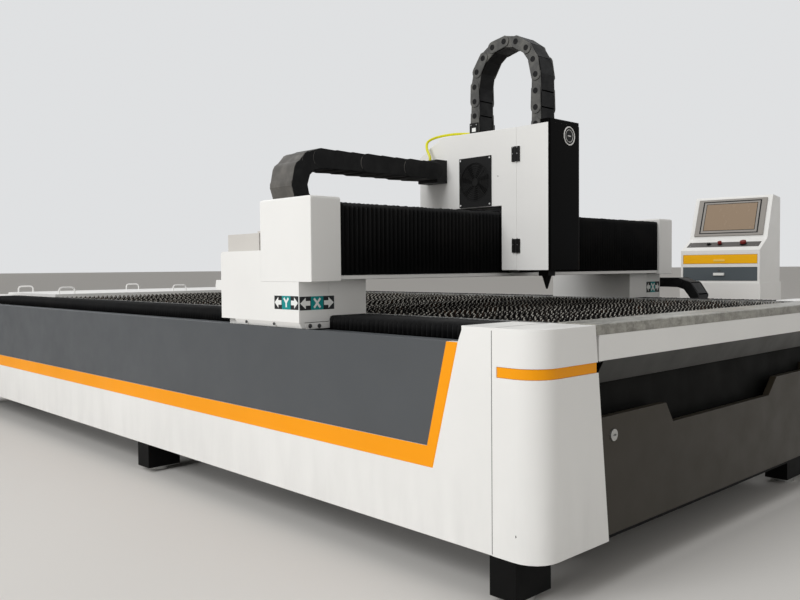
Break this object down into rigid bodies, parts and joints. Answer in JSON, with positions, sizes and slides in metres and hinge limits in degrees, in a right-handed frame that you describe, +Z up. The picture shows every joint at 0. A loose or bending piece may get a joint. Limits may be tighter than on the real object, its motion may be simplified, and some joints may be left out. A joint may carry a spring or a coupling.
{
  "type": "fiber laser cutting machine",
  "caption": "Open-bed fiber laser cutter: toothed slat bed, travelling gantry under pleated covers, lifting cutting head with energy chains, control console.",
  "frame": {"origin": "centre of the bounding box's bottom, on the floor", "axes": "+Z up, +Y from the front (access door) end along the bed to the deck plates, +X across the bed towards the console"},
  "size_m": [4.102, 5.4, 2.0676],
  "materials": {
    "white_paint": "smooth semi-gloss white paint",
    "grey_paint": "satin dark grey paint",
    "skirt_paint": "white paint with an orange band",
    "amber_lens": "amber strip",
    "door_paint": "satin brown-black paint",
    "frame_paint": "matt black paint",
    "galvanised": "galvanised sheet",
    "steel": "machined steel",
    "slat_steel": "mild steel, scaled and spattered",
    "bellows_cloth": "black coated cloth",
    "chain_plastic": "black moulded nylon",
    "black_gloss": "gloss black front on white sides",
    "yellow_paint": "yellow paint",
    "blue_grey_paint": "blue grey paint",
    "screen": "brown grey frame round a glossy screen",
    "red_plastic": "red push button",
    "green_plastic": "green push button",
    "cable_yellow": "yellow sheath"
  },
  "bodies": {
    "bed": {"base_frame_front": "frame_paint", "base_frame_middle": "frame_paint", "base_frame_rear": "frame_paint", "side_beam_left": "frame_paint", "side_beam_right": "frame_paint", "side_skirt_left": "skirt_paint", "side_skirt_right": "skirt_paint", "side_panel_left": "grey_paint", "side_panel_right": "grey_paint", "corner_cover_left": "white_paint", "corner_cover_right": "white_paint", "corner_light_left": "amber_lens", "corner_light_right": "amber_lens", "rear_cover": "white_paint", "front_panel": "white_paint", "front_edge_strip": "galvanised", "deck_plate_left": "white_paint", "deck_plate_middle": "white_paint", "deck_plate_right": "white_paint", "slat_bed": "slat_steel", "slag_tray": "galvanised", "y_bellows_left_front": "bellows_cloth", "y_bellows_left_rear": "bellows_cloth", "y_bellows_right_front": "bellows_cloth", "y_bellows_right_rear": "bellows_cloth", "y_chain_tray": "frame_paint", "y_chain_lower": "chain_plastic", "console_cabinet": "white_paint", "console_screen": "screen"},
    "gantry": {"gantry_beam": "steel", "foot_cover_left": "white_paint", "foot_cover_right": "white_paint", "end_cover_left": "white_paint", "end_cover_right": "white_paint", "beam_bellows_left": "bellows_cloth", "beam_bellows_right": "bellows_cloth", "x_chain_lower": "chain_plastic", "y_chain_upper": "chain_plastic"},
    "head": {"x_carriage": "steel", "head_housing": "white_paint", "x_chain_upper": "chain_plastic", "z_chain_rear": "chain_plastic", "fibre_cable": "cable_yellow"},
    "lift": {"cutting_head": "steel", "z_chain_front": "chain_plastic"},
    "head_door": {"head_front_cover": "black_gloss"},
    "x_bend": {"x_chain_bend": "chain_plastic"},
    "y_bend": {"y_chain_bend": "chain_plastic"},
    "z_bend": {"z_chain_bend": "chain_plastic"},
    "access_door": {"front_door": "door_paint"},
    "lock_left": {"door_lock_left": "steel"},
    "lock_right": {"door_lock_right": "steel"},
    "drawer_upper": {"console_drawer_upper": "yellow_paint"},
    "drawer_lower": {"console_drawer_lower": "blue_grey_paint"},
    "stop_button": {"emergency_stop": "red_plastic"},
    "run_button": {"start_button": "green_plastic"},
    "pinion_x": {"x_pinion": "steel"},
    "pinion_y_left": {"y_pinion_left": "steel"},
    "pinion_y_right": {"y_pinion_right": "steel"},
    "screw_z": {"z_screw": "steel"}
  },
  "joints": [
    {"name": "gantry_y", "type": "slide", "parent": "bed", "child": "gantry", "axis": [0, 1, 0], "range_m": [-0.66, 3.3], "deforming": ["y_bellows_left_front", "y_bellows_right_front", "y_bellows_left_rear", "y_bellows_right_rear", "y_chain_lower", "y_chain_upper"]},
    {"name": "head_x", "type": "slide", "parent": "gantry", "child": "head", "axis": [1, 0, 0], "range_m": [-0.87, 1.12], "deforming": ["beam_bellows_left", "beam_bellows_right", "x_chain_upper", "x_chain_lower"]},
    {"name": "head_z", "type": "slide", "parent": "head", "child": "lift", "axis": [0, 0, 1], "range_m": [-0.075, 0.05], "deforming": ["z_chain_rear", "z_chain_front"]},
    {"name": "x_chain_travel", "type": "slide", "parent": "gantry", "child": "x_bend", "axis": [1, 0, 0], "range_m": [-0.44, 0.57]},
    {"name": "y_chain_travel", "type": "slide", "parent": "bed", "child": "y_bend", "axis": [0, 1, 0], "range_m": [-0.34, 1.66]},
    {"name": "z_chain_travel", "type": "slide", "parent": "head", "child": "z_bend", "axis": [0, 0, 1], "range_m": [-0.04, 0.03]},
    {"name": "head_door_hinge", "type": "hinge", "parent": "head", "child": "head_door", "pos_m": [-0.96648, -1.757, 1.3], "axis": [0, 0, -1], "range_deg": [0, 100]},
    {"name": "access_door_hinge", "type": "hinge", "parent": "bed", "child": "access_door", "pos_m": [-0.88098, -2.668, 0.16], "axis": [1, 0, 0], "range_deg": [0, 90]},
    {"name": "lock_left_turn", "type": "hinge", "parent": "access_door", "child": "lock_left", "pos_m": [-1.65998, -2.68, 0.473], "axis": [0, 1, 0], "range_deg": [0, 90]},
    {"name": "lock_right_turn", "type": "hinge", "parent": "access_door", "child": "lock_right", "pos_m": [-0.10098, -2.68, 0.473], "axis": [0, 1, 0], "range_deg": [-90, 0]},
    {"name": "drawer_upper_slide", "type": "slide", "parent": "bed", "child": "drawer_upper", "axis": [-0.9903, -0.1392, 0], "range_m": [0, 0.25]},
    {"name": "drawer_lower_slide", "type": "slide", "parent": "bed", "child": "drawer_lower", "axis": [-0.9903, -0.1392, 0], "range_m": [0, 0.25]},
    {"name": "emergency_stop_press", "type": "slide", "parent": "bed", "child": "stop_button", "axis": [0.4117, 0.0579, -0.9095], "range_m": [0, 0.004], "stiffness_N_per_m": 900},
    {"name": "start_button_press", "type": "slide", "parent": "bed", "child": "run_button", "axis": [0.4117, 0.0579, -0.9095], "range_m": [0, 0.003], "stiffness_N_per_m": 700},
    {"name": "x_pinion_spin", "type": "hinge", "parent": "head", "child": "pinion_x", "pos_m": [-0.84398, -1.586, 1.0895], "axis": [0, 1, 0], "range_deg": [-2296.8, 1785.3]},
    {"name": "y_pinion_left_spin", "type": "hinge", "parent": "gantry", "child": "pinion_y_left", "pos_m": [-1.78898, -1.18, 0.72], "axis": [0, 0, 1], "range_deg": [-1355.5, 6757.7]},
    {"name": "y_pinion_right_spin", "type": "hinge", "parent": "gantry", "child": "pinion_y_right", "pos_m": [0.35202, -1.18, 0.72], "axis": [0, 0, 1], "range_deg": [-6757.7, 1355.5]},
    {"name": "z_screw_spin", "type": "hinge", "parent": "head", "child": "screw_z", "pos_m": [-0.84398, -1.705, 1.255], "axis": [0, 0, 1], "range_deg": [-1355, 905]}
  ],
  "couplings": [
    {"joint": "x_chain_travel", "follows": "head_x", "ratio": 0.5},
    {"joint": "y_chain_travel", "follows": "gantry_y", "ratio": 0.5},
    {"joint": "z_chain_travel", "follows": "head_z", "ratio": 0.5},
    {"joint": "x_pinion_spin", "follows": "head_x", "rad_per_m": -35.714},
    {"joint": "y_pinion_left_spin", "follows": "gantry_y", "rad_per_m": 35.714},
    {"joint": "y_pinion_right_spin", "follows": "gantry_y", "rad_per_m": -35.714},
    {"joint": "z_screw_spin", "follows": "head_z", "rad_per_m": 314.16}
  ]
}
